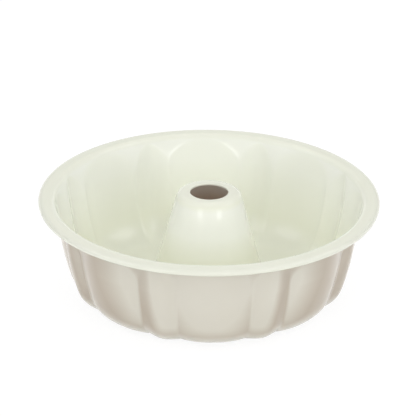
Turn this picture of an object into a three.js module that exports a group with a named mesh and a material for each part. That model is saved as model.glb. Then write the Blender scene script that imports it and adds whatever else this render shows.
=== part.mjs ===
// An enamel bundt pan: a fluted steel shell and a tapered steel tube,
// welded together and enamelled on both sides.
// Millimetres, +Z up. The origin is the middle of the base, on the surface that the pan stands on.
import * as THREE from "three";

// Sheet and coats
const STEEL_THICKNESS = 0.8;
const INNER_ENAMEL_THICKNESS = 0.3;
const OUTER_ENAMEL_THICKNESS = 0.3;

// Rim: diameter and height are measured over the enamel
const RIM_DIAMETER = 260;
const RIM_HEIGHT = 80;
const FLANGE_WIDTH = 12;
const LIP_INSIDE_RADIUS = 1;
const LIP_TUCK = 2.5;

// Wall and base: a steep upper wall, a flatter lower wall and a wide fillet round the base
const UPPER_WALL_ANGLE = 7.5;
const LOWER_WALL_ANGLE = 15.5;
const WALL_BEND_HEIGHT = 40;
const RIM_INSIDE_RADIUS = 2.5;
const BASE_INSIDE_RADIUS = 24;

// Flutes: a wide and a narrow lobe make a pair, and a groove runs down between each two lobes
const FLUTE_PAIRS = 8;
const WIDE_LOBE_SHARE = 2 / 3;
const GROOVE_DEPTH = 3.5;
const WIDE_LOBE_SET_BACK = 0.8;
const LOBE_ROUNDNESS = 2.5;
const FLUTE_RUNOUT = 17;
const RUNOUT_ROUNDNESS = 2;

// Tube
const HOLE_DIAMETER = 29;
const TUBE_RISE = 3;
const TUBE_RING_WIDTH = 9;
const TUBE_ANGLE = 14;
const SHOULDER_INSIDE_RADIUS = 3.5;
const FOOT_INSIDE_RADIUS = 22;

// Facet counts round each lobe and along each fillet
const WIDE_LOBE_FACET_COUNT = 4;
const NARROW_LOBE_FACET_COUNT = 3;
const SHOULDER_FACET_COUNT = 2;
const FOOT_FACET_COUNT = 3;
const BASE_FACET_COUNT = 4;
const RIM_FACET_COUNT = 2;
const LIP_FACET_COUNT = 2;

const degrees = THREE.MathUtils.degToRad;
const slopeOf = (angle) => Math.tan(degrees(angle));

// The meridian is the middle of the steel sheet in a half plane through the axis: x is a radius, y a height.
const tableSide = STEEL_THICKNESS / 2 + OUTER_ENAMEL_THICKNESS;
const foodSide = STEEL_THICKNESS / 2 + INNER_ENAMEL_THICKNESS;
const floorLevel = tableSide;
const flangeLevel = RIM_HEIGHT - foodSide;
const tubeTopLevel = RIM_HEIGHT + TUBE_RISE - foodSide;

// Distances of the four skins from the middle of the sheet, positive towards the table
const skinOffsets = {
  tableSkin: tableSide,
  steelBack: STEEL_THICKNESS / 2,
  steelFront: -STEEL_THICKNESS / 2,
  foodSkin: -foodSide,
};
const skinOrder = Object.keys(skinOffsets);

// A fillet of the meridian: points on the arc, each with the meridian's direction there.
// A fillet never takes more than half of the sides that it joins.
function fillet(before, corner, after, radius, steps) {
  const arriving = corner.clone().sub(before);
  const leaving = after.clone().sub(corner);
  const shortSide = Math.min(arriving.length(), leaving.length());
  arriving.normalize();
  leaving.normalize();
  const turn = Math.atan2(arriving.cross(leaving), arriving.dot(leaving));
  const reach = Math.min(radius * Math.tan(Math.abs(turn) / 2), shortSide / 2);
  const arcRadius = reach / Math.tan(Math.abs(turn) / 2);
  const start = corner.clone().addScaledVector(arriving, -reach);
  const towardsCentre = new THREE.Vector2(-arriving.y, arriving.x).multiplyScalar(Math.sign(turn));
  const centre = start.clone().addScaledVector(towardsCentre, arcRadius);
  return Array.from({ length: steps + 1 }, (_, step) => {
    const swung = (turn * step) / steps;
    return {
      place: start.clone().rotateAround(centre, swung),
      direction: arriving.clone().rotateAround(new THREE.Vector2(), swung),
    };
  });
}

// A single station on a straight stretch of the meridian, or at a corner too slight for a fillet
function station(place, before, after) {
  return { place, direction: after.clone().sub(before).normalize() };
}

// Corners of the tube's meridian, from the hole down to the floor
const holeRadius = HOLE_DIAMETER / 2;
const hole = new THREE.Vector2(holeRadius, tubeTopLevel);
const tubeEdge = new THREE.Vector2(holeRadius + INNER_ENAMEL_THICKNESS, tubeTopLevel);
const shoulder = new THREE.Vector2(holeRadius + TUBE_RING_WIDTH, tubeTopLevel);
const tubeSpread = slopeOf(TUBE_ANGLE) * (tubeTopLevel - floorLevel);
const foot = new THREE.Vector2(shoulder.x + tubeSpread, floorLevel);

// Corners of the shell's meridian, from the floor up the wall and round the lip
const wallTop = new THREE.Vector2(RIM_DIAMETER / 2 - FLANGE_WIDTH, flangeLevel);
const upperWallSpread = slopeOf(UPPER_WALL_ANGLE) * (flangeLevel - WALL_BEND_HEIGHT);
const wallBend = new THREE.Vector2(wallTop.x - upperWallSpread, WALL_BEND_HEIGHT);
const lowerWallSpread = slopeOf(LOWER_WALL_ANGLE) * (WALL_BEND_HEIGHT - floorLevel);
const base = new THREE.Vector2(wallBend.x - lowerWallSpread, floorLevel);
const lipRadius = LIP_INSIDE_RADIUS + tableSide;
const lipReach = RIM_DIAMETER / 2 - foodSide;
const lipTop = new THREE.Vector2(lipReach, flangeLevel);
const lipBottom = new THREE.Vector2(lipReach, flangeLevel - 2 * lipRadius);
const lipEnd = new THREE.Vector2(lipReach - lipRadius - LIP_TUCK, lipBottom.y);
const tuckedEdge = new THREE.Vector2(lipEnd.x + OUTER_ENAMEL_THICKNESS, lipBottom.y);

// A point of the upper wall at some depth below the flange
function upperWallAt(depth) {
  const place = new THREE.Vector2(wallTop.x - slopeOf(UPPER_WALL_ANGLE) * depth, flangeLevel - depth);
  return station(place, wallBend, wallTop);
}

const shoulderArc = fillet(hole, shoulder, foot, SHOULDER_INSIDE_RADIUS + tableSide, SHOULDER_FACET_COUNT);
const footArc = fillet(shoulder, foot, base, FOOT_INSIDE_RADIUS + foodSide, FOOT_FACET_COUNT);
const baseArc = fillet(foot, base, wallBend, BASE_INSIDE_RADIUS + foodSide, BASE_FACET_COUNT);
const rimArc = fillet(wallBend, wallTop, lipTop, RIM_INSIDE_RADIUS + tableSide, RIM_FACET_COUNT);
const lipUpperArc = fillet(wallTop, lipTop, lipBottom, lipRadius, LIP_FACET_COUNT);
const lipLowerArc = fillet(lipTop, lipBottom, lipEnd, lipRadius, LIP_FACET_COUNT);

// The weld lies in the middle of the flat floor.
const weldPlace = footArc.at(-1).place.clone().lerp(baseArc[0].place, 0.5);
const tubeStations = [
  station(hole, hole, shoulder),
  station(tubeEdge, hole, shoulder),
  ...shoulderArc,
  ...footArc,
  station(weldPlace, foot, base),
];
const wallStations = [
  ...baseArc,
  station(wallBend, base, wallTop),
  upperWallAt(FLUTE_RUNOUT),
  upperWallAt(FLUTE_RUNOUT / 2),
  ...rimArc,
];
const lipStations = [
  ...lipUpperArc,
  ...lipLowerArc.slice(1),
  station(tuckedEdge, lipBottom, lipEnd),
  station(lipEnd, lipBottom, lipEnd),
];
for (const each of wallStations) {
  each.fluted = true;
}
const stations = [...tubeStations, ...wallStations, ...lipStations];
const HOLE_EDGE = 0;
const TUBE_EDGE = HOLE_EDGE + 1;
const WELD = tubeStations.length - 1;
const LIP_END = stations.length - 1;
const TUCKED_EDGE = LIP_END - 1;

// Angles round the axis, from the middle of a wide lobe at -Y, with a line of points in every groove
const pairAngle = (2 * Math.PI) / FLUTE_PAIRS;
const wideHalf = (pairAngle * WIDE_LOBE_SHARE) / 2;
const narrowHalf = pairAngle / 2 - wideHalf;
const wideStep = (2 * wideHalf) / WIDE_LOBE_FACET_COUNT;
const narrowStep = (2 * narrowHalf) / NARROW_LOBE_FACET_COUNT;
const angles = [];
for (let pair = 0; pair < FLUTE_PAIRS; pair++) {
  const pairStart = pair * pairAngle - wideHalf;
  for (let step = 0; step < WIDE_LOBE_FACET_COUNT; step++) {
    angles.push(pairStart + step * wideStep);
  }
  const narrowStart = pairStart + 2 * wideHalf;
  for (let step = 0; step < NARROW_LOBE_FACET_COUNT; step++) {
    angles.push(narrowStart + step * narrowStep);
  }
}

// How far the flutes set the wall back: little or nothing on a lobe's crest, and most in its grooves.
// A groove runs out in a curve up to the flange, so that each lobe ends there in an arch.
function setBackAt(angle, height) {
  const inPair = THREE.MathUtils.euclideanModulo(angle + wideHalf, pairAngle) - wideHalf;
  const onWide = inPair <= wideHalf;
  const fromCrest = onWide ? inPair / wideHalf : (inPair - wideHalf - narrowHalf) / narrowHalf;
  const crest = onWide ? WIDE_LOBE_SET_BACK : 0;
  const lobe = THREE.MathUtils.lerp(crest, GROOVE_DEPTH, Math.abs(fromCrest) ** LOBE_ROUNDNESS);
  const above = THREE.MathUtils.clamp(1 - (flangeLevel - height) / FLUTE_RUNOUT, 0, 1);
  return Math.min(lobe, GROOVE_DEPTH * (1 - above ** RUNOUT_ROUNDNESS));
}

// Change of a function over a small step to both sides, as a slope
const SMALL_STEP = 1e-4;
const slopeAt = (f, x) => (f(x + SMALL_STEP) - f(x - SMALL_STEP)) / (2 * SMALL_STEP);

// A point of one skin at a station and an angle, at its distance from the sheet's middle along the normal
function skinPoint({ place, direction, fluted }, skin, angle) {
  const setBack = (turn, height) => (fluted ? setBackAt(turn, height) : 0);
  const radius = place.x - setBack(angle, place.y);
  const setBackUpwards = slopeAt((height) => setBack(angle, height), place.y);
  const radiusAlong = direction.x - setBackUpwards * direction.y;
  const radiusRound = -slopeAt((turn) => setBack(turn, place.y), angle) / radius;
  const outward = new THREE.Vector3(Math.sin(angle), -Math.cos(angle), 0);
  const sideways = new THREE.Vector3(Math.cos(angle), Math.sin(angle), 0);
  const normal = outward.clone().multiplyScalar(direction.y);
  normal.addScaledVector(sideways, -radiusRound * direction.y);
  normal.z = -radiusAlong;
  const middle = outward.multiplyScalar(radius).setZ(place.y);
  return middle.addScaledVector(normal.normalize(), skinOffsets[skin]);
}

// Cross-section corners of one skin between two stations, in either order
function run(skin, from, to) {
  const step = Math.sign(to - from);
  return Array.from({ length: Math.abs(to - from) + 1 }, (_, i) => ({ skin, at: from + i * step }));
}

// A closed ring whose cross-section is a loop of corners, anticlockwise when the axis is on the left.
// Both solids on a shared skin split its quads along the same diagonal, so that they meet face to face.
function ringGeometry(loop) {
  const positions = angles.flatMap((angle) =>
    loop.flatMap(({ skin, at }) => skinPoint(stations[at], skin, angle).toArray()),
  );
  const rank = ({ skin, at }) => at * skinOrder.length + skinOrder.indexOf(skin);
  const indices = [];
  angles.forEach((_, turn) => {
    const here = turn * loop.length;
    const there = ((turn + 1) % angles.length) * loop.length;
    loop.forEach((corner, i) => {
      const j = (i + 1) % loop.length;
      if (rank(corner) < rank(loop[j])) {
        indices.push(here + i, there + i, there + j, here + i, there + j, here + j);
      } else {
        indices.push(here + i, there + i, here + j, there + i, there + j, here + j);
      }
    });
  });
  const geometry = new THREE.BufferGeometry();
  geometry.setAttribute("position", new THREE.Float32BufferAttribute(positions, 3));
  geometry.setIndex(indices);
  geometry.computeVertexNormals();
  return geometry;
}

const pan = new THREE.Group();
pan.name = "enamel_bundt_pan";

function addPiece(name, loop, finish) {
  const piece = new THREE.Mesh(ringGeometry(loop), new THREE.MeshStandardMaterial(finish));
  piece.name = name;
  pan.add(piece);
}

const BARE_STEEL = { color: 0x8d8f92, roughness: 0.5, metalness: 1 };
const CREAM_GLOSS = { color: 0xeaedda, roughness: 0.12, metalness: 0 };
const CHAMPAGNE_GLOSS = { color: 0xd6cec2, roughness: 0.2, metalness: 0.1 };

// Pressed sheet with the wall, the floor outside the weld, the flange and the rolled lip
addPiece(
  "fluted_shell",
  [...run("steelBack", WELD, TUCKED_EDGE), ...run("steelFront", TUCKED_EDGE, WELD)],
  BARE_STEEL,
);

// Pressed sheet with the pierced top, the tapered wall and the flared foot inside the weld
addPiece(
  "centre_tube",
  [...run("steelBack", TUBE_EDGE, WELD), ...run("steelFront", WELD, TUBE_EDGE)],
  BARE_STEEL,
);

// Cream coat on the food side, wrapped over the steel at the edge of the hole
addPiece(
  "inner_enamel",
  [
    ...run("steelFront", TUBE_EDGE, LIP_END),
    ...run("foodSkin", LIP_END, HOLE_EDGE),
    ...run("steelBack", HOLE_EDGE, TUBE_EDGE),
  ],
  CREAM_GLOSS,
);

// Champagne coat on the table side, wrapped over the steel at the tucked edge of the lip
addPiece(
  "outer_enamel",
  [
    ...run("tableSkin", HOLE_EDGE, LIP_END),
    ...run("steelFront", LIP_END, TUCKED_EDGE),
    ...run("steelBack", TUCKED_EDGE, HOLE_EDGE),
  ],
  CHAMPAGNE_GLOSS,
);

export default pan;
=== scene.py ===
import math

import bmesh
import bpy
from mathutils import Matrix, Vector


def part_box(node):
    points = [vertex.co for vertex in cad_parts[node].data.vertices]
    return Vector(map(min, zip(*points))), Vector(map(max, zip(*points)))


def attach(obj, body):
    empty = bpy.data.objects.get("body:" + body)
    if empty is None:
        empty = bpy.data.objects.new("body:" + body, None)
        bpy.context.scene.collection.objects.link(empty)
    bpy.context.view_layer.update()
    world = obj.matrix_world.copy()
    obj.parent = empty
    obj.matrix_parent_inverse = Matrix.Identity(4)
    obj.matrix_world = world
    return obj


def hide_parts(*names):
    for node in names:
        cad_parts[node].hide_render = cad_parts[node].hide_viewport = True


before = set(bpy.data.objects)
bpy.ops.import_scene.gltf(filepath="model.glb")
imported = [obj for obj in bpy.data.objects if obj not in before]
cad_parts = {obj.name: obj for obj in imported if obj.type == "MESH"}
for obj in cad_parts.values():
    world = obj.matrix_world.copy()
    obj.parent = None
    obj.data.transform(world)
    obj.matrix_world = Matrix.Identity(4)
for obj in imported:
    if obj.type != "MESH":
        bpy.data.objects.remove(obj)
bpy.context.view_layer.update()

# Sheet and coats, in metres
MM = 0.001
STEEL = 0.8 * MM
COAT = 0.3 * MM
SKIN = STEEL / 2 + COAT

# Rim, wall and base
RIM_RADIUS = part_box("inner_enamel")[1].x
RIM_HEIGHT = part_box("fluted_shell")[1].z + COAT
FLANGE_WIDTH = 12 * MM
LIP_INSIDE_RADIUS = 1 * MM
LIP_TUCK = 2.5 * MM
TUCK_EDGE_RADIUS = 0.4 * MM
UPPER_WALL_SLOPE = math.tan(math.radians(7.5))
LOWER_WALL_SLOPE = math.tan(math.radians(15.5))
WALL_BEND_HEIGHT = 40 * MM
WALL_BEND_RADIUS = 150 * MM
RIM_INSIDE_RADIUS = 2.5 * MM
BASE_INSIDE_RADIUS = 24 * MM

# Tube
TUBE_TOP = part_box("inner_enamel")[1].z
HOLE_RADIUS = 14.5 * MM
HOLE_EDGE_RADIUS = 0.5 * MM
TUBE_RING_WIDTH = 9 * MM
TUBE_SLOPE = math.tan(math.radians(15))
SHOULDER_INSIDE_RADIUS = 4 * MM
FOOT_INSIDE_RADIUS = 22 * MM

# Flutes: pairs of a wide and a narrow lobe, with a groove between each two lobes
FLUTE_PAIRS = 8
PAIR_COLUMNS = 24
COLUMNS = FLUTE_PAIRS * PAIR_COLUMNS
GROOVE_COLUMN = 8
NARROW_COLUMN = 12
GROOVE_DEPTH = 4.2 * MM
WIDE_LOBE_SET_BACK = 0.8 * MM
WIDE_LOBE_ROUNDNESS = 2.5
NARROW_LOBE_CREST = 0.18
ARCH_DEPTH = 17 * MM
ARCH_LEAST_DEPTH = 0.6 * MM
CREST_RUNOUT = 15 * MM
SPANDREL_CURVE = 1.1
ARCH_MARGIN = 5 * MM
ARCH_SOFTNESS = 0.12
OUTER_GROOVE_CREASE = 0.85
INNER_GROOVE_CREASE = 0.6
OUTER_ARCH_CREASE = 0.4
INNER_ARCH_CREASE = 0.0

# Rings that hold the sheets' shape: heights, shares of a spandrel's drop, and cuts in the flat stretches
WALL_RINGS = [27 * MM, 49 * MM, 54 * MM]
TUBE_RINGS = [30 * MM, 46 * MM, 62 * MM]
SPANDREL_RINGS = {72 * MM: 0.25, 69 * MM: 0.55}
ARCH_RING = 66 * MM
MARGIN_RING = 60 * MM
FLANGE_CUTS = 2
FLOOR_CUTS = 1
TUBE_TOP_CUTS = 1

# How far inside the base's corner the wall's cuts reach, clear of the tube
WALL_CUT_REACH = 30 * MM

# Steps along the fillets, before the sheets are rounded off
SHOULDER_STEPS = 4
FOOT_STEPS = 5
BASE_STEPS = 6
WALL_BEND_STEPS = 2
RIM_STEPS = 4
LIP_STEPS = 3
EDGE_STEPS = 2

# Places closer than this are the same, and edges sharper than this angle stay sharp
NEAR = 0.02 * MM
SMOOTH_ANGLE = math.radians(50)


# Selecting and moving in edit mode

def pick_vertices(test):
    """Selects the vertices whose place passes the test, with the edges and faces between them."""
    bpy.ops.mesh.select_mode(type="VERT")
    bpy.ops.mesh.select_all(action="DESELECT")
    mesh = bmesh.from_edit_mesh(bpy.context.edit_object.data)
    for vertex in mesh.verts:
        vertex.select = test(vertex.co)
    mesh.select_flush_mode()


def pick_edges(test):
    """Selects the edges whose two ends pass the test together."""
    bpy.ops.mesh.select_mode(type="EDGE")
    bpy.ops.mesh.select_all(action="DESELECT")
    mesh = bmesh.from_edit_mesh(bpy.context.edit_object.data)
    for edge in mesh.edges:
        edge.select = test(edge.verts[0].co, edge.verts[1].co)
    mesh.select_flush_mode()


def axis_distance(place):
    """How far a place lies from the pan's axis."""
    return math.hypot(place.x, place.y)


def on_ring(place, corner):
    """True if a place lies on the ring that a corner of the meridian sweeps."""
    return abs(axis_distance(place) - corner.x) < NEAR and abs(place.z - corner.y) < NEAR


def resize_round_axis(factor):
    """Moves the selected vertices to or from the pan's axis."""
    bpy.ops.transform.resize(value=(factor, factor, 1), center_override=(0, 0, 0))


# The meridian: corners of the sheet's middle in a half plane through the axis, x a radius and y a height

FLOOR_LEVEL = SKIN
FLANGE_LEVEL = RIM_HEIGHT - SKIN
TUBE_LEVEL = TUBE_TOP - SKIN
LIP_RADIUS = LIP_INSIDE_RADIUS + SKIN
hole = Vector((HOLE_RADIUS, TUBE_LEVEL))
shoulder = Vector((HOLE_RADIUS + TUBE_RING_WIDTH, TUBE_LEVEL))
foot = Vector((shoulder.x + TUBE_SLOPE * (TUBE_LEVEL - FLOOR_LEVEL), FLOOR_LEVEL))
wall_top = Vector((RIM_RADIUS - FLANGE_WIDTH, FLANGE_LEVEL))
wall_bend = Vector((wall_top.x - UPPER_WALL_SLOPE * (FLANGE_LEVEL - WALL_BEND_HEIGHT), WALL_BEND_HEIGHT))
base = Vector((wall_bend.x - LOWER_WALL_SLOPE * (WALL_BEND_HEIGHT - FLOOR_LEVEL), FLOOR_LEVEL))
lip_top = Vector((RIM_RADIUS - SKIN, FLANGE_LEVEL))
lip_bottom = Vector((lip_top.x, FLANGE_LEVEL - 2 * LIP_RADIUS))
lip_end = Vector((lip_top.x - LIP_RADIUS - LIP_TUCK, lip_bottom.y))
MERIDIAN = [hole, shoulder, foot, base, wall_bend, wall_top, lip_top, lip_bottom, lip_end]


class Corner:
    """A corner of a meridian, with the radius of its fillet and the steps along it."""

    def __init__(self, x, y, radius=0, steps=1):
        self.place = Vector((x, y))
        self.radius = radius
        self.steps = steps


def turn_at(before, corner, after):
    """How far the meridian turns at a corner, positive towards the food side."""
    arriving = corner - before
    leaving = after - corner
    return math.atan2(arriving.cross(leaving), arriving.dot(leaving))


def skin_corner(corner, offset, middle_radius, steps):
    """The skin's corner at a distance from a corner of the sheet's middle, positive towards the table."""
    index = MERIDIAN.index(corner)
    before = MERIDIAN[index - 1]
    after = MERIDIAN[index + 1]
    turn = turn_at(before, corner, after)
    along = ((corner - before).normalized() + (after - corner).normalized()).normalized()
    place = corner + Vector((along.y, -along.x)) * offset / math.cos(turn / 2)
    return Corner(place.x, place.y, middle_radius + math.copysign(1, turn) * offset, steps)


def tube_corners(offset):
    """The skin's corners from the tube's shoulder to its foot."""
    return [
        skin_corner(shoulder, offset, SHOULDER_INSIDE_RADIUS + SKIN, SHOULDER_STEPS),
        skin_corner(foot, offset, FOOT_INSIDE_RADIUS + SKIN, FOOT_STEPS),
    ]


def shell_corners(offset):
    """The skin's corners from the base up the wall and round the lip."""
    return [
        skin_corner(base, offset, BASE_INSIDE_RADIUS + SKIN, BASE_STEPS),
        skin_corner(wall_bend, offset, WALL_BEND_RADIUS, WALL_BEND_STEPS),
        skin_corner(wall_top, offset, RIM_INSIDE_RADIUS + SKIN, RIM_STEPS),
        skin_corner(lip_top, offset, LIP_RADIUS, LIP_STEPS),
        skin_corner(lip_bottom, offset, LIP_RADIUS, LIP_STEPS),
    ]


def fillet_reach(before, corner, after):
    """How far a corner's fillet reaches along its two sides."""
    turn = turn_at(before.place, corner.place, after.place)
    return corner.radius * math.tan(abs(turn) / 2)


WELD_RADIUS = (
    foot.x
    + base.x
    + fillet_reach(Corner(*shoulder), tube_corners(0)[1], Corner(*base))
    - fillet_reach(Corner(*foot), shell_corners(0)[0], Corner(*wall_bend))
) / 2


# Sheets

def swept_sheet(name, corners):
    """A sheet swept round the axis through the corners, with a fillet at each corner that has a radius."""
    first = corners[0].place
    bpy.ops.object.select_all(action="DESELECT")
    bpy.ops.mesh.primitive_circle_add(
        vertices=COLUMNS, radius=first.x, fill_type="NOTHING", location=(0, 0, first.y)
    )
    sheet = bpy.context.object
    sheet.name = sheet.data.name = name
    bpy.ops.object.transform_apply(location=True, rotation=True, scale=True)
    bpy.ops.object.mode_set(mode="EDIT")
    for before, corner in zip(corners, corners[1:]):
        rise = corner.place.y - before.place.y
        bpy.ops.mesh.extrude_region_move(TRANSFORM_OT_translate={"value": (0, 0, rise)})
        resize_round_axis(corner.place.x / before.place.x)
    for before, corner, after in zip(corners, corners[1:], corners[2:]):
        if corner.radius:
            pick_vertices(lambda place: on_ring(place, corner.place))
            bpy.ops.mesh.bevel(
                offset_type="OFFSET",
                offset=fillet_reach(before, corner, after),
                segments=corner.steps,
                profile=0.5,
                affect="EDGES",
                clamp_overlap=False,
            )
    bpy.ops.mesh.select_all(action="SELECT")
    bpy.ops.mesh.remove_doubles(threshold=NEAR)
    return sheet


def cut_flat(level, cuts):
    """Adds rings on the flat stretch at a height."""
    def radial(one, other):
        flat = abs(one.z - level) < NEAR and abs(other.z - level) < NEAR
        return flat and abs(axis_distance(one) - axis_distance(other)) > NEAR

    pick_edges(radial)
    bpy.ops.mesh.subdivide(number_cuts=cuts)


def cut_rings(heights, nearest, furthest):
    """Adds rings at some heights on the wall that lies between two distances from the axis."""
    for height in heights:
        pick_vertices(lambda place: nearest < axis_distance(place) < furthest)
        bpy.ops.mesh.bisect(plane_co=(0, 0, height), plane_no=(0, 0, 1))


def lobe_column(place):
    """Columns from the nearest wide lobe's middle, at most to a narrow lobe's. A wide lobe lies on -Y."""
    turns = math.atan2(place.x, -place.y) / (2 * math.pi)
    column = round(turns * COLUMNS) % PAIR_COLUMNS
    return min(column, PAIR_COLUMNS - column)


def lobe_shape(column):
    """The set-back of a column's lobe at its crest, and the share of the way from crest to groove.

    A wide lobe is rounded, and a narrow one has a flat crest between two flat flanks.
    """
    if column <= GROOVE_COLUMN:
        return WIDE_LOBE_SET_BACK, (column / GROOVE_COLUMN) ** WIDE_LOBE_ROUNDNESS
    across = (NARROW_COLUMN - column) / (NARROW_COLUMN - GROOVE_COLUMN)
    return 0, max(across - NARROW_LOBE_CREST, 0) / (1 - NARROW_LOBE_CREST)


def set_back(column, drop):
    """How far the flutes set the wall back in a column, at a drop below the flange's fillet."""
    crest, to_groove = lobe_shape(column)
    return crest * min(drop / CREST_RUNOUT, 1) + (GROOVE_DEPTH - crest) * to_groove


def spandrel_back(share):
    """How far the wall is set back at a share of the way from the flange to the foot of a spandrel."""
    return GROOVE_DEPTH * (1 - (1 - share) ** SPANDREL_CURVE)


def flute_wall(corners, groove_crease, arch_crease):
    """Sets the wall back in its grooves and shapes the arch that each lobe ends in under the flange."""
    tube_foot, base_corner, bend, rim, lip = corners
    flutes_from = base_corner.place.x - fillet_reach(tube_foot, base_corner, bend) - NEAR
    slope = math.cos(math.atan(UPPER_WALL_SLOPE))
    rim_arc_end = rim.place.y - fillet_reach(bend, rim, lip) * slope
    arch_span = rim_arc_end - (rim.place.y - ARCH_DEPTH)

    def target(place):
        """Where a place of the plain wall goes: its distance from the axis and its height."""
        column = lobe_column(place)
        share = 1 - (1 - lobe_shape(column)[1]) ** (1 / SPANDREL_CURVE)
        drop = max(arch_span * share, ARCH_LEAST_DEPTH)
        moved = {
            ring: (drop * down, spandrel_back(share * down)) for ring, down in SPANDREL_RINGS.items()
        }
        moved[ARCH_RING] = (drop, set_back(column, drop) * (1 - ARCH_SOFTNESS))
        moved[MARGIN_RING] = (drop + ARCH_MARGIN, set_back(column, drop + ARCH_MARGIN))
        for ring, (below, back) in moved.items():
            if abs(place.z - ring) < NEAR:
                height = rim_arc_end - below
                return rim.place.x - UPPER_WALL_SLOPE * (rim.place.y - height) - back, height
        return axis_distance(place) - set_back(column, rim_arc_end - place.z), place.z

    mesh = bmesh.from_edit_mesh(bpy.context.edit_object.data)
    groups = {}
    for vertex in mesh.verts:
        distance = axis_distance(vertex.co)
        if flutes_from < distance < rim.place.x and vertex.co.z < rim_arc_end - NEAR:
            key = (lobe_column(vertex.co), round(distance / NEAR), round(vertex.co.z / NEAR))
            groups.setdefault(key, []).append(vertex.index)

    pick_edges(
        lambda one, other: lobe_column(one) == lobe_column(other) == GROOVE_COLUMN
        and min(axis_distance(one), axis_distance(other)) > flutes_from
        and max(one.z, other.z) < ARCH_RING + NEAR
        and max(axis_distance(one), axis_distance(other)) < rim.place.x
    )
    bpy.ops.transform.edge_crease(value=groove_crease)
    pick_edges(
        lambda one, other: abs(one.z - ARCH_RING) + abs(other.z - ARCH_RING) < NEAR
        and axis_distance(one) > flutes_from
    )
    bpy.ops.transform.edge_crease(value=arch_crease)

    bpy.ops.mesh.select_mode(type="VERT")
    for indices in groups.values():
        bpy.ops.mesh.select_all(action="DESELECT")
        mesh = bmesh.from_edit_mesh(bpy.context.edit_object.data)
        mesh.verts.ensure_lookup_table()
        for index in indices:
            mesh.verts[index].select = True
        place = mesh.verts[indices[0]].co.copy()
        mesh.select_flush_mode()
        distance, height = target(place)
        resize_round_axis(distance / axis_distance(place))
        if abs(height - place.z) > NEAR:
            bpy.ops.transform.translate(value=(0, 0, height - place.z))


def face_towards(level, up):
    """Turns the sheet's faces so that those on the flat stretch at a height face up or down."""
    bpy.ops.mesh.select_all(action="SELECT")
    bpy.ops.mesh.normals_make_consistent(inside=False)
    mesh = bmesh.from_edit_mesh(bpy.context.edit_object.data)
    flat = [face for face in mesh.faces if all(abs(v.co.z - level) < NEAR for v in face.verts)]
    if (flat[0].normal.z > 0) != up:
        bpy.ops.mesh.flip_normals()


def finish_sheet(sheet, thickness, offset):
    """Rounds the sheet off and gives it its thickness."""
    bpy.ops.object.mode_set(mode="OBJECT")
    rounding = sheet.modifiers.new("rounding", "SUBSURF")
    rounding.levels = 1
    rounding.render_levels = 1
    bpy.ops.object.modifier_apply(modifier=rounding.name)
    wall = sheet.modifiers.new("wall", "SOLIDIFY")
    wall.thickness = thickness
    wall.offset = offset
    wall.use_even_offset = True
    bpy.ops.object.modifier_apply(modifier=wall.name)
    bpy.ops.object.shade_smooth_by_angle(angle=SMOOTH_ANGLE)


def shape_shell(corners, flange_level, floor_level, groove_crease, arch_crease):
    """Cuts the shell's part of a sheet into rings and flutes its wall."""
    cut_flat(flange_level, FLANGE_CUTS)
    cut_flat(floor_level, FLOOR_CUTS)
    wall_from = corners[1].place.x - WALL_CUT_REACH
    cut_rings(WALL_RINGS + [*SPANDREL_RINGS, ARCH_RING, MARGIN_RING], wall_from, corners[3].place.x)
    flute_wall(corners, groove_crease, arch_crease)


def inner_coat():
    """The cream coat: round the edge of the hole, over the tube, floor and wall, and round the lip."""
    tube = tube_corners(-SKIN)
    shell = shell_corners(-SKIN)
    start = [
        Corner(HOLE_RADIUS, TUBE_LEVEL - STEEL / 2),
        Corner(HOLE_RADIUS, TUBE_TOP, HOLE_EDGE_RADIUS, EDGE_STEPS),
    ]
    coat = swept_sheet("inner_enamel_coat", start + tube + shell + [Corner(lip_end.x, lip_end.y - SKIN)])
    cut_flat(TUBE_TOP, TUBE_TOP_CUTS)
    cut_rings(TUBE_RINGS, 0, foot.x)
    shape_shell(
        [tube[1], *shell[:4]], RIM_HEIGHT, FLOOR_LEVEL + SKIN, INNER_GROOVE_CREASE, INNER_ARCH_CREASE
    )
    face_towards(RIM_HEIGHT, True)
    finish_sheet(coat, COAT, -1)
    return coat


def outer_coat():
    """The champagne coat: the tube's bore, the base, the wall, under the flange and round the lip's edge."""
    tube = tube_corners(SKIN)
    shell = shell_corners(SKIN)
    end = [
        Corner(lip_end.x, lip_end.y + SKIN, TUCK_EDGE_RADIUS, EDGE_STEPS),
        Corner(lip_end.x, lip_end.y - STEEL / 2),
    ]
    coat = swept_sheet("outer_enamel_coat", [Corner(HOLE_RADIUS, TUBE_LEVEL - SKIN)] + tube + shell + end)
    cut_flat(TUBE_LEVEL - SKIN, TUBE_TOP_CUTS)
    cut_rings(TUBE_RINGS, 0, foot.x)
    shape_shell([tube[1], *shell[:4]], FLANGE_LEVEL - SKIN, 0, OUTER_GROOVE_CREASE, OUTER_ARCH_CREASE)
    face_towards(0, False)
    finish_sheet(coat, COAT, -1)
    return coat


def steel_tube():
    """The pressed tube inside the coats, from the edge of the hole to the weld in the floor."""
    tube = tube_corners(0)
    sheet = swept_sheet(
        "steel_tube", [Corner(HOLE_RADIUS + COAT, TUBE_LEVEL), *tube, Corner(WELD_RADIUS, FLOOR_LEVEL)]
    )
    cut_rings(TUBE_RINGS, 0, foot.x)
    face_towards(FLOOR_LEVEL, True)
    finish_sheet(sheet, STEEL, 0)
    return sheet


def steel_shell():
    """The pressed shell inside the coats, from the weld in the floor to the tucked edge of the lip."""
    shell = shell_corners(0)
    end = Corner(lip_end.x + COAT, lip_end.y)
    sheet = swept_sheet("steel_shell", [Corner(WELD_RADIUS, FLOOR_LEVEL), *shell, end])
    shape_shell(
        [tube_corners(0)[1], *shell[:4]], FLANGE_LEVEL, FLOOR_LEVEL, INNER_GROOVE_CREASE, INNER_ARCH_CREASE
    )
    face_towards(FLANGE_LEVEL, True)
    finish_sheet(sheet, STEEL, 0)
    return sheet


# Finishes, with colours as linear red, green and blue

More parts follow.
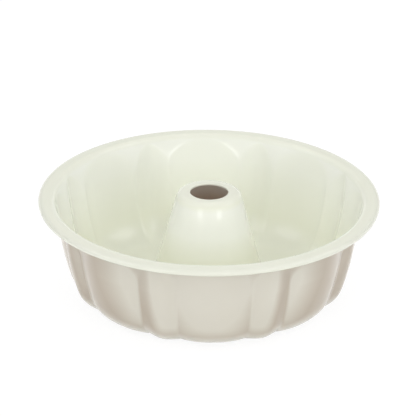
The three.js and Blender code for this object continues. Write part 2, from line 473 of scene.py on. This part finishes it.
CREAM_PALE = (0.915, 0.927, 0.805)
CREAM_DEEP = (0.902, 0.915, 0.787)
# Painted light: the cream turns to this paler tone high on the wall and tube, as where more light falls
CREAM_PAINTED_LIGHT = (0.936, 0.948, 0.875)
# Painted shade: the cream turns to this deeper tone low on the tube and round its foot
CREAM_FOOT_SHADE = (0.84, 0.85, 0.72)
CREAM_LIP = (0.858, 0.868, 0.76)
CREAM_CLOUDS = 30.0
CREAM_ROUGHNESS = (0.06, 0.09)
CREAM_IOR = 1.55
CHAMPAGNE_PALE = (0.73, 0.70, 0.615)
CHAMPAGNE_DEEP = (0.71, 0.68, 0.59)
# Painted shade: the champagne turns to this deeper tone where the wall is seen at a glancing angle, in place
# of the shade and dark reflections on the flanks beside the grooves
CHAMPAGNE_GLANCING_SHADE = (0.48, 0.405, 0.315)
CHAMPAGNE_CLOUDS = 26.0
CHAMPAGNE_ROUGHNESS = (0.28, 0.36)
CHAMPAGNE_SPECULAR = 0.3
CHAMPAGNE_COAT_ROUGHNESS = 0.04
CHAMPAGNE_COAT_IOR = 1.5
# Painted light and shade in the bore: a warm dark tone deep down and a light tone near its top, where light
# comes in
BORE_PAINTED_SHADE = (0.74, 0.58, 0.43)
BORE_PAINTED_LIGHT = (1.0, 0.95, 0.86)
STEEL_PALE = (0.30, 0.30, 0.31)
STEEL_DEEP = (0.24, 0.24, 0.25)
STEEL_CLOUDS = 60.0
STEEL_ROUGHNESS = (0.38, 0.5)

# Where masks on the glaze begin and are full: heights, distances from the axis or parts of a unit vector
# Painted light on the cream: the heights where it starts to pale, and where it stops below the flange
PAINTED_LIGHT_HEIGHTS = (20 * MM, 60 * MM)
BELOW_FLANGE_HEIGHTS = (79.9 * MM, 76 * MM)
# Painted shade on the cream: the heights and distances from the axis where it deepens low on the tube and
# round its foot
FOOT_SHADE_HEIGHTS = (56 * MM, 36 * MM)
FOOT_SHADE_DISTANCES = (66 * MM, 52 * MM)
LIP_DISTANCES = (125.5 * MM, 128.5 * MM)
BORE_DISTANCES = (58 * MM, 50 * MM)
# The bore's painted light: the heights over which it lightens towards the top
BORE_PAINTED_LIGHT_HEIGHTS = (TUBE_TOP - 18 * MM, TUBE_TOP - 4 * MM)
# Painted shade on the champagne: how squarely the wall is seen where it starts and is full, and how far a
# surface faces up, which keeps it off the downward-facing base fillet
GLANCING_SHADE_FACING = (0.30, 0.52)
UPRIGHT_NORMALS = (-0.80, -0.30)

# Ripples and clouds of the glaze, as depths in metres and scales for each metre
GLAZE_RIPPLE_DEPTH = 0.004 * MM
STEEL_RIPPLE_DEPTH = 0.006 * MM
RIPPLE_SCALE = 420.0
WAVE_SCALE = 45.0
WAVE_SHARE = 12.0
CLOUD_SPREAD = (0.3, 0.7)

FLOAT = "NodeSocketFloat"
COLOUR = "NodeSocketColor"
MIX_FROM = 6
MIX_TO = 7
MIX_RESULT = 2


def add_node(tree, kind, **values):
    """A node with values for its inputs, by name, or for its own settings."""
    node = tree.nodes.new(kind)
    for name, value in values.items():
        words = name.replace("_", " ").title()
        if words in node.inputs:
            node.inputs[words].default_value = value
        else:
            setattr(node, name, value)
    return node


def new_group(name, inputs, outputs):
    """An empty shader node group with named sockets, each given as a name and a kind."""
    group = bpy.data.node_groups.new(name, "ShaderNodeTree")
    for socket, kind in inputs:
        group.interface.new_socket(socket, in_out="INPUT", socket_type=kind)
    for socket, kind in outputs:
        group.interface.new_socket(socket, in_out="OUTPUT", socket_type=kind)
    return group, group.nodes.new("NodeGroupInput"), group.nodes.new("NodeGroupOutput")


def glaze_ripple_group():
    """The slight waviness of a fired glaze: fine ripples on broad waves."""
    inputs = [("Ripples", FLOAT), ("Waves", FLOAT)]
    group, given, out = new_group("glaze_ripple", inputs, [("Height", FLOAT)])
    place = add_node(group, "ShaderNodeTexCoord")
    ripples = add_node(group, "ShaderNodeTexNoise", detail=1.0, roughness=0.4)
    waves = add_node(group, "ShaderNodeTexNoise", detail=0.0)
    together = add_node(group, "ShaderNodeMath", operation="MULTIPLY_ADD")
    together.inputs[1].default_value = WAVE_SHARE
    group.links.new(place.outputs["Object"], ripples.inputs["Vector"])
    group.links.new(place.outputs["Object"], waves.inputs["Vector"])
    group.links.new(given.outputs["Ripples"], ripples.inputs["Scale"])
    group.links.new(given.outputs["Waves"], waves.inputs["Scale"])
    group.links.new(waves.outputs["Fac"], together.inputs[0])
    group.links.new(ripples.outputs["Fac"], together.inputs[2])
    group.links.new(together.outputs[0], out.inputs["Height"])
    return group


def glaze_tone_group():
    """The slow drift of a glaze's colour between a pale and a deep tone."""
    inputs = [("Pale", COLOUR), ("Deep", COLOUR), ("Clouds", FLOAT)]
    group, given, out = new_group("glaze_tone", inputs, [("Color", COLOUR), ("Mask", FLOAT)])
    place = add_node(group, "ShaderNodeTexCoord")
    clouds = add_node(group, "ShaderNodeTexNoise", detail=2.0, roughness=0.5)
    group.links.new(place.outputs["Object"], clouds.inputs["Vector"])
    group.links.new(given.outputs["Clouds"], clouds.inputs["Scale"])
    mask = ramp(group, clouds.outputs["Fac"], CLOUD_SPREAD)
    drift = mixed(group, mask, given.outputs["Pale"], given.outputs["Deep"])
    group.links.new(drift, out.inputs["Color"])
    group.links.new(mask, out.inputs["Mask"])
    return group


# Masks and mixes

def ramp(tree, value, limits):
    """A mask that is 0 where a value is at the first limit and 1 where it is at the second."""
    node = add_node(tree, "ShaderNodeMapRange", from_min=limits[0], from_max=limits[1])
    tree.links.new(value, node.inputs["Value"])
    return node.outputs["Result"]


def overlap(tree, one, other):
    """The mask of the places that lie in two masks."""
    node = add_node(tree, "ShaderNodeMath", operation="MULTIPLY")
    tree.links.new(one, node.inputs[0])
    tree.links.new(other, node.inputs[1])
    return node.outputs[0]


def mixed(tree, mask, first, second):
    """A colour that a mask turns from the first to the second, each of them a socket or plain values."""
    mix = add_node(tree, "ShaderNodeMix", data_type="RGBA")
    tree.links.new(mask, mix.inputs["Factor"])
    for index, colour in ((MIX_FROM, first), (MIX_TO, second)):
        if isinstance(colour, tuple):
            mix.inputs[index].default_value = (*colour, 1)
        else:
            tree.links.new(colour, mix.inputs[index])
    return mix.outputs[MIX_RESULT]


def upward_part(tree, vector):
    """The part of a vector that points up: the height of a place, or how far a surface faces up."""
    split = add_node(tree, "ShaderNodeSeparateXYZ")
    tree.links.new(vector, split.inputs[0])
    return split.outputs["Z"]


def from_axis(tree, place):
    """The distance of a place from the pan's axis."""
    level = add_node(tree, "ShaderNodeVectorMath", operation="MULTIPLY")
    level.inputs[1].default_value = (1, 1, 0)
    length = add_node(tree, "ShaderNodeVectorMath", operation="LENGTH")
    tree.links.new(place, level.inputs[0])
    tree.links.new(level.outputs[0], length.inputs[0])
    return length.outputs["Value"]


RIPPLE = glaze_ripple_group()
TONE = glaze_tone_group()


def new_finish(name):
    """A material with a Principled BSDF, and that shader."""
    material = bpy.data.materials.new(name)
    material.use_nodes = True
    material.node_tree.nodes.clear()
    shader = material.node_tree.nodes.new("ShaderNodeBsdfPrincipled")
    out = material.node_tree.nodes.new("ShaderNodeOutputMaterial")
    material.node_tree.links.new(shader.outputs["BSDF"], out.inputs["Surface"])
    return material, shader


def glazed(name, pale, deep, clouds, ripple_depth, roughness):
    """A glossy, slightly rippled finish that drifts between two tones, its shader and its tone's socket."""
    material, shader = new_finish(name)
    tree = material.node_tree
    tone = add_node(tree, "ShaderNodeGroup", node_tree=TONE)
    tone.inputs["Pale"].default_value = (*pale, 1)
    tone.inputs["Deep"].default_value = (*deep, 1)
    tone.inputs["Clouds"].default_value = clouds
    ripple = add_node(tree, "ShaderNodeGroup", node_tree=RIPPLE)
    ripple.inputs["Ripples"].default_value = RIPPLE_SCALE
    ripple.inputs["Waves"].default_value = WAVE_SCALE
    bump = add_node(tree, "ShaderNodeBump", strength=1.0, distance=ripple_depth)
    gloss = add_node(tree, "ShaderNodeMapRange", to_min=roughness[0], to_max=roughness[1])
    tree.links.new(ripple.outputs["Height"], bump.inputs["Height"])
    tree.links.new(bump.outputs["Normal"], shader.inputs["Normal"])
    tree.links.new(tone.outputs["Color"], shader.inputs["Base Color"])
    tree.links.new(tone.outputs["Mask"], gloss.inputs["Value"])
    tree.links.new(gloss.outputs["Result"], shader.inputs["Roughness"])
    return material, shader, tone.outputs["Color"]


def cream_enamel():
    """Cream glaze with painted light that makes it paler high on the wall and tube, painted shade that makes
    it deeper low on the tube and round its foot, and a deeper tone at the lip.
    """
    material, shader, tone = glazed(
        "cream_enamel", CREAM_PALE, CREAM_DEEP, CREAM_CLOUDS, GLAZE_RIPPLE_DEPTH, CREAM_ROUGHNESS
    )
    tree = material.node_tree
    place = add_node(tree, "ShaderNodeTexCoord").outputs["Object"]
    height = upward_part(tree, place)
    distance = from_axis(tree, place)
    # Painted light: paler high on the wall and tube, below the flange
    painted_light = overlap(tree, ramp(tree, height, PAINTED_LIGHT_HEIGHTS), ramp(tree, height, BELOW_FLANGE_HEIGHTS))
    # Painted shade: deeper low on the tube and round its foot
    foot_shade = overlap(tree, ramp(tree, distance, FOOT_SHADE_DISTANCES), ramp(tree, height, FOOT_SHADE_HEIGHTS))
    on_lip = ramp(tree, distance, LIP_DISTANCES)
    paler = mixed(tree, painted_light, tone, CREAM_PAINTED_LIGHT)
    deeper = mixed(tree, foot_shade, paler, CREAM_FOOT_SHADE)
    edged = mixed(tree, on_lip, deeper, CREAM_LIP)
    tree.links.new(edged, shader.inputs["Base Color"])
    shader.inputs["IOR"].default_value = CREAM_IOR
    return material


def champagne_enamel():
    """Champagne glaze with painted shade that deepens it where the wall is seen at a glancing angle, and a
    bore painted dark deep down and lighter near its top.
    """
    material, shader, tone = glazed(
        "champagne_enamel",
        CHAMPAGNE_PALE,
        CHAMPAGNE_DEEP,
        CHAMPAGNE_CLOUDS,
        GLAZE_RIPPLE_DEPTH,
        CHAMPAGNE_ROUGHNESS,
    )
    tree = material.node_tree
    surface = add_node(tree, "ShaderNodeTexCoord")
    place = surface.outputs["Object"]
    # Painted shade: the wall's tone deepens where it is seen at a glancing angle, but not where it faces
    # down
    facing = add_node(tree, "ShaderNodeLayerWeight", blend=0.5).outputs["Facing"]
    upright = ramp(tree, upward_part(tree, surface.outputs["Normal"]), UPRIGHT_NORMALS)
    glancing_shade = overlap(tree, ramp(tree, facing, GLANCING_SHADE_FACING), upright)
    glancing_shaded_tone = mixed(tree, glancing_shade, tone, CHAMPAGNE_GLANCING_SHADE)
    # Painted light and shade in the bore: dark deep down, lighter near the top
    bore_painted_light_and_shade = mixed(tree, ramp(tree, upward_part(tree, place), BORE_PAINTED_LIGHT_HEIGHTS), BORE_PAINTED_SHADE, BORE_PAINTED_LIGHT)
    in_bore = ramp(tree, from_axis(tree, place), BORE_DISTANCES)
    tree.links.new(mixed(tree, in_bore, glancing_shaded_tone, bore_painted_light_and_shade), shader.inputs["Base Color"])
    shader.inputs["Specular IOR Level"].default_value = CHAMPAGNE_SPECULAR
    shader.inputs["Coat Weight"].default_value = 1.0
    shader.inputs["Coat Roughness"].default_value = CHAMPAGNE_COAT_ROUGHNESS
    shader.inputs["Coat IOR"].default_value = CHAMPAGNE_COAT_IOR
    return material


def bare_steel():
    """The pressed sheet between the coats."""
    material, shader, _ = glazed(
        "bare_steel", STEEL_PALE, STEEL_DEEP, STEEL_CLOUDS, STEEL_RIPPLE_DEPTH, STEEL_ROUGHNESS
    )
    shader.inputs["Metallic"].default_value = 1.0
    return material


# The pan

steel = bare_steel()
PIECES = [
    (inner_coat(), "inner_enamel", "cream_enamel", cream_enamel()),
    (outer_coat(), "outer_enamel", "champagne_enamel", champagne_enamel()),
    (steel_shell(), "fluted_shell", "steel", steel),
    (steel_tube(), "centre_tube", "steel", steel),
]
for piece, node, slot, finish in PIECES:
    piece.data.materials.append(finish)
    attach(piece, "root")
    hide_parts(node)


# Stage: a pale floor that looks white to the camera and keeps the pan's shadow, before a white backdrop

WHITE = (1, 1, 1, 1)
FLOOR_SIZE = 16
FLOOR_TONE = (0.9, 0.9, 0.89, 1)
FLOOR_SEEN_TONE = (0.15, 0.15, 0.15, 1)
FLOOR_SEEN_GLOW = 0.9
FLOOR_MIRRORED_GLOW = 0.42
SOFT_LIGHT = 0.22
BACKDROP_FADE = (0.15, 0.40)
BACKDROP_LOW_GLOW = 1.0
BACKDROP_HIGH_GLOW = 0.3


def pale_floor():
    """A floor that is white to the camera, takes the pan's shadow and is brighter in the pan's gloss."""
    bpy.ops.object.select_all(action="DESELECT")
    bpy.ops.mesh.primitive_plane_add(size=FLOOR_SIZE, location=(0, 0, 0))
    floor = bpy.context.object
    floor.name = "floor"
    material = bpy.data.materials.new("pale_floor")
    material.use_nodes = True
    tree = material.node_tree
    tree.nodes.clear()
    paths = add_node(tree, "ShaderNodeLightPath")
    lit = add_node(tree, "ShaderNodeBsdfDiffuse", color=FLOOR_TONE)
    glow = add_node(tree, "ShaderNodeEmission", color=WHITE, strength=FLOOR_MIRRORED_GLOW)
    mirrored = add_node(tree, "ShaderNodeAddShader")
    off_camera = add_node(tree, "ShaderNodeMixShader")
    shadowed = add_node(tree, "ShaderNodeBsdfDiffuse", color=FLOOR_SEEN_TONE)
    white = add_node(tree, "ShaderNodeEmission", color=WHITE, strength=FLOOR_SEEN_GLOW)
    seen = add_node(tree, "ShaderNodeAddShader")
    mix = add_node(tree, "ShaderNodeMixShader")
    out = add_node(tree, "ShaderNodeOutputMaterial")
    tree.links.new(lit.outputs[0], mirrored.inputs[0])
    tree.links.new(glow.outputs[0], mirrored.inputs[1])
    tree.links.new(paths.outputs["Is Glossy Ray"], off_camera.inputs[0])
    tree.links.new(lit.outputs[0], off_camera.inputs[1])
    tree.links.new(mirrored.outputs[0], off_camera.inputs[2])
    tree.links.new(shadowed.outputs[0], seen.inputs[0])
    tree.links.new(white.outputs[0], seen.inputs[1])
    tree.links.new(paths.outputs["Is Camera Ray"], mix.inputs[0])
    tree.links.new(off_camera.outputs[0], mix.inputs[1])
    tree.links.new(seen.outputs[0], mix.inputs[2])
    tree.links.new(mix.outputs[0], out.inputs["Surface"])
    floor.data.materials.append(material)


def pale_world():
    """Soft even light. The enamel mirrors a backdrop that is bright low down and dim overhead."""
    world = bpy.data.worlds.new("studio")
    bpy.context.scene.world = world
    world.use_nodes = True
    tree = world.node_tree
    tree.nodes.clear()
    place = add_node(tree, "ShaderNodeTexCoord")
    backdrop = add_node(
        tree,
        "ShaderNodeMapRange",
        from_min=BACKDROP_FADE[0],
        from_max=BACKDROP_FADE[1],
        to_min=BACKDROP_LOW_GLOW,
        to_max=BACKDROP_HIGH_GLOW,
    )
    paths = add_node(tree, "ShaderNodeLightPath")
    straight = add_node(tree, "ShaderNodeMath", operation="MAXIMUM")
    soft = add_node(tree, "ShaderNodeBackground", color=WHITE, strength=SOFT_LIGHT)
    mirrored = add_node(tree, "ShaderNodeBackground", color=WHITE)
    white = add_node(tree, "ShaderNodeBackground", color=WHITE, strength=1.0)
    off_camera = add_node(tree, "ShaderNodeMixShader")
    seen = add_node(tree, "ShaderNodeMixShader")
    out = add_node(tree, "ShaderNodeOutputWorld")
    tree.links.new(upward_part(tree, place.outputs["Generated"]), backdrop.inputs["Value"])
    tree.links.new(backdrop.outputs["Result"], mirrored.inputs["Strength"])
    tree.links.new(paths.outputs["Is Glossy Ray"], off_camera.inputs[0])
    tree.links.new(soft.outputs[0], off_camera.inputs[1])
    tree.links.new(mirrored.outputs[0], off_camera.inputs[2])
    tree.links.new(paths.outputs["Is Camera Ray"], straight.inputs[0])
    tree.links.new(paths.outputs["Is Transmission Ray"], straight.inputs[1])
    tree.links.new(straight.outputs[0], seen.inputs[0])
    tree.links.new(off_camera.outputs[0], seen.inputs[1])
    tree.links.new(white.outputs[0], seen.inputs[2])
    tree.links.new(seen.outputs[0], out.inputs["Surface"])


def direction(azimuth, elevation):
    """Unit vector from the pan towards a place in the studio. Azimuth 0 is the front, 90 the right."""
    turn = math.radians(azimuth)
    rise = math.radians(elevation)
    return Vector((math.sin(turn) * math.cos(rise), -math.cos(turn) * math.cos(rise), math.sin(rise)))


def soft_lamp(name, aim, distance, size, power, mirrored=True):
    """A rectangular soft lamp that faces the pan from a direction. The gloss may leave it out."""
    lamp = bpy.data.lights.new(name, "AREA")
    lamp.shape = "RECTANGLE"
    lamp.size, lamp.size_y = size
    lamp.energy = power
    holder = bpy.data.objects.new(name, lamp)
    towards = direction(*aim)
    holder.location = Vector((0, 0, RIM_HEIGHT)) + towards * distance
    holder.rotation_euler = towards.to_track_quat("Z", "Y").to_euler()
    holder.visible_glossy = mirrored
    bpy.context.scene.collection.objects.link(holder)


pale_floor()
pale_world()
soft_lamp("front_left", aim=(-30, 6), distance=1.5, size=(0.45, 0.34), power=0.94)
soft_lamp("front_right", aim=(30, 6), distance=1.5, size=(0.5, 0.34), power=1.03)
soft_lamp("left_low_fill", aim=(-32, 17), distance=1.6, size=(0.45, 0.7), power=3.03, mirrored=False)
soft_lamp("right_low_fill", aim=(32, 17), distance=1.6, size=(0.45, 0.7), power=3.03, mirrored=False)
soft_lamp("front_high_fill", aim=(1, 45), distance=1.6, size=(1.6, 1.0), power=4.45, mirrored=False)
soft_lamp("overhead", aim=(0, 80), distance=1.4, size=(1.4, 1.4), power=3.7, mirrored=False)
soft_lamp("left_fill", aim=(-80, 38), distance=1.6, size=(1.2, 1.0), power=4.9)
soft_lamp("right_fill", aim=(80, 38), distance=1.6, size=(1.2, 1.0), power=5.2)
soft_lamp("back_fill", aim=(180, 40), distance=1.8, size=(2.0, 0.8), power=12.2, mirrored=False)

# Camera: the photograph's view, with the rim's middle a little right of and above the picture's middle
IMAGE_SIZE = 416
FOCAL_PIXELS = 2100.4
SENSOR_WIDTH = 36
CLIP_FROM = 0.05
CLIP_TO = 50
CAMERA_DISTANCE = 1.6
CAMERA_AZIMUTH = -2.5
CAMERA_ELEVATION = 25.02
CAMERA_ROLL = 0.63
RIM_MIDDLE_RIGHT = 1.1
RIM_MIDDLE_UP = 13.05


def add_camera():
    """A camera that sees the pan as the photograph does."""
    camera = bpy.data.cameras.new("camera")
    camera.sensor_width = SENSOR_WIDTH
    camera.lens = SENSOR_WIDTH * FOCAL_PIXELS / IMAGE_SIZE
    camera.clip_start = CLIP_FROM
    camera.clip_end = CLIP_TO
    holder = bpy.data.objects.new("camera", camera)
    back = direction(CAMERA_AZIMUTH, CAMERA_ELEVATION)
    level = (-back).to_track_quat("-Z", "Y").to_matrix()
    turned = level @ Matrix.Rotation(math.radians(CAMERA_ROLL), 3, "Z")
    pixel = CAMERA_DISTANCE / FOCAL_PIXELS
    aside = turned @ Vector((RIM_MIDDLE_RIGHT * pixel, RIM_MIDDLE_UP * pixel, 0))
    place = Vector((0, 0, RIM_HEIGHT)) + back * CAMERA_DISTANCE - aside
    holder.matrix_world = Matrix.Translation(place) @ turned.to_4x4()
    bpy.context.scene.collection.objects.link(holder)
    bpy.context.scene.camera = holder


add_camera()
bpy.context.scene.view_settings.view_transform = "Standard"
